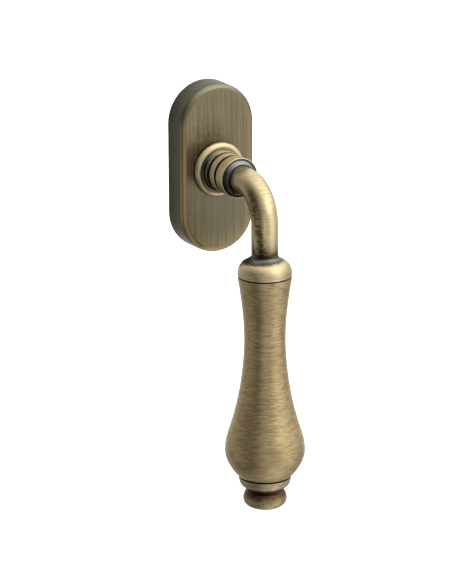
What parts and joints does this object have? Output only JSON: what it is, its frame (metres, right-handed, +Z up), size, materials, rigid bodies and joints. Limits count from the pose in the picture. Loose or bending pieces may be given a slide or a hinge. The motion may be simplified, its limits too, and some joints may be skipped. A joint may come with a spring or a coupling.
{
  "type": "tilt and turn window handle",
  "caption": "Window handle: obround rosette hiding its screws, turned neck, gooseneck arm and a hanging baluster grip, on a square spindle with a click detent.",
  "frame": {"origin": "where the spindle axis meets the mounting face (the plane of the rosette's rear face)", "axes": "+Z up along the sash stile, towards the top of the rosette; +Y into the sash along the spindle; -Y towards the room; +X to the right seen from the room"},
  "size_m": [0.0336, 0.0879, 0.1679],
  "materials": {
    "antique_brass_cover": "brass, patinated dark and relieved by vertical brushing, lacquered",
    "antique_brass_arm": "brass casting, turned and brushed, dark patina left in the grooves and hollows",
    "antique_brass_grip": "brass, brushed round its girth, brown patina left in streaks",
    "zinc_casting": null,
    "zinc_plated_steel": "steel, bright zinc plated",
    "spring_steel": "hardened spring steel, oiled",
    "black_steel": "blackened steel",
    "nylon": "natural nylon"
  },
  "bodies": {
    "rosette": {"rosette_cover": "antique_brass_cover", "base_plate": "zinc_casting", "neck_bush": "nylon", "thrust_washer": "nylon", "detent_springs": "spring_steel", "spring_cover_plate": "zinc_plated_steel", "cover_plate_screws": "zinc_plated_steel", "fixing_screws": "zinc_plated_steel"},
    "handle": {"neck_arm": "antique_brass_arm", "spindle": "zinc_plated_steel", "detent_cam": "spring_steel", "cam_pin": "spring_steel", "grub_screw": "black_steel", "top_ferrule": "antique_brass_arm", "grip_body": "antique_brass_grip", "bottom_ferrule": "antique_brass_grip", "finial_nut": "antique_brass_grip", "tie_rod": "zinc_plated_steel", "lock_washer": "spring_steel", "dowel_pins": "spring_steel"}
  },
  "joints": [
    {"name": "handle_turn", "type": "hinge", "parent": "rosette", "child": "handle", "pos_m": [0, 0, 0], "axis": [0, 1, 0], "range_deg": [-180, 180], "deforming": ["detent_springs"]}
  ]
}
